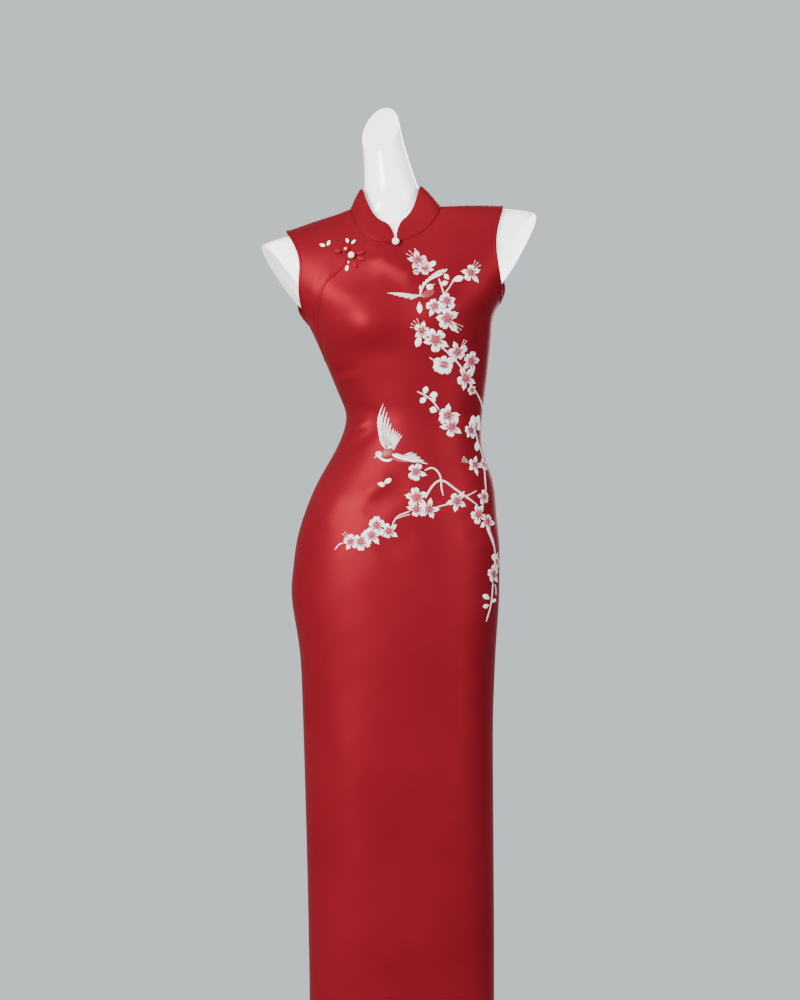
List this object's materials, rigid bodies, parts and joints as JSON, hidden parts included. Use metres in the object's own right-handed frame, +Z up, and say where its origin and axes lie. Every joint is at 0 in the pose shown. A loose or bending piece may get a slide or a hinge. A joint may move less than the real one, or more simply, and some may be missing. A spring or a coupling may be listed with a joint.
{
  "type": "cheongsam dress on a limbless dress form",
  "caption": "Fitted sleeveless cheongsam dress with a stand collar, curved overlap, pearl and cord flower knot, and side slits, worn by a glossy limbless dress form on a round pole stand",
  "frame": {"origin": "centre of the base's underside, which is the middle of the whole part's box, at floor level", "axes": "+Z up, -Y towards the dress's front, +X towards the viewer's right when facing the front"},
  "size_m": [0.4556, 0.34, 1.6263],
  "materials": {
    "front_panel": "red satin with a soft sheen",
    "front_underlap": "red satin with a soft sheen",
    "back_panel": "red satin with a soft sheen",
    "collar": "red satin with a soft sheen",
    "armhole_binding_left": "red satin with a soft sheen",
    "armhole_binding_right": "red satin with a soft sheen",
    "collar_pearl": "pearly white",
    "knot_pearl": "pearly white",
    "knot_petal_1": "pearly white",
    "knot_petal_2": "pearly white",
    "knot_petal_3": "pearly white",
    "knot_petal_4": "pearly white",
    "knot_petal_5": "pearly white",
    "knot_bead_1": "pearly white",
    "knot_bead_2": "pearly white",
    "knot_coil": "red satin cord",
    "knot_loop_1": "red satin cord",
    "knot_loop_2": "red satin cord",
    "knot_loop_3": "red satin cord",
    "knot_loop_4": "red satin cord",
    "form_body": "smooth white gloss",
    "form_socket": "brushed",
    "stand_pole": "brushed",
    "stand_boss": "brushed",
    "stand_base": "brushed"
  },
  "bodies": {
    "root": {"front_panel": "front_panel", "front_underlap": "front_underlap", "back_panel": "back_panel", "collar": "collar", "armhole_binding_left": "armhole_binding_left", "armhole_binding_right": "armhole_binding_right", "collar_pearl": "collar_pearl", "knot_pearl": "knot_pearl", "knot_petal_1": "knot_petal_1", "knot_petal_2": "knot_petal_2", "knot_petal_3": "knot_petal_3", "knot_petal_4": "knot_petal_4", "knot_petal_5": "knot_petal_5", "knot_bead_1": "knot_bead_1", "knot_bead_2": "knot_bead_2", "knot_coil": "knot_coil", "knot_loop_1": "knot_loop_1", "knot_loop_2": "knot_loop_2", "knot_loop_3": "knot_loop_3", "knot_loop_4": "knot_loop_4", "form_body": "form_body", "form_socket": "form_socket", "stand_pole": "stand_pole", "stand_boss": "stand_boss", "stand_base": "stand_base"}
  },
  "joints": []
}
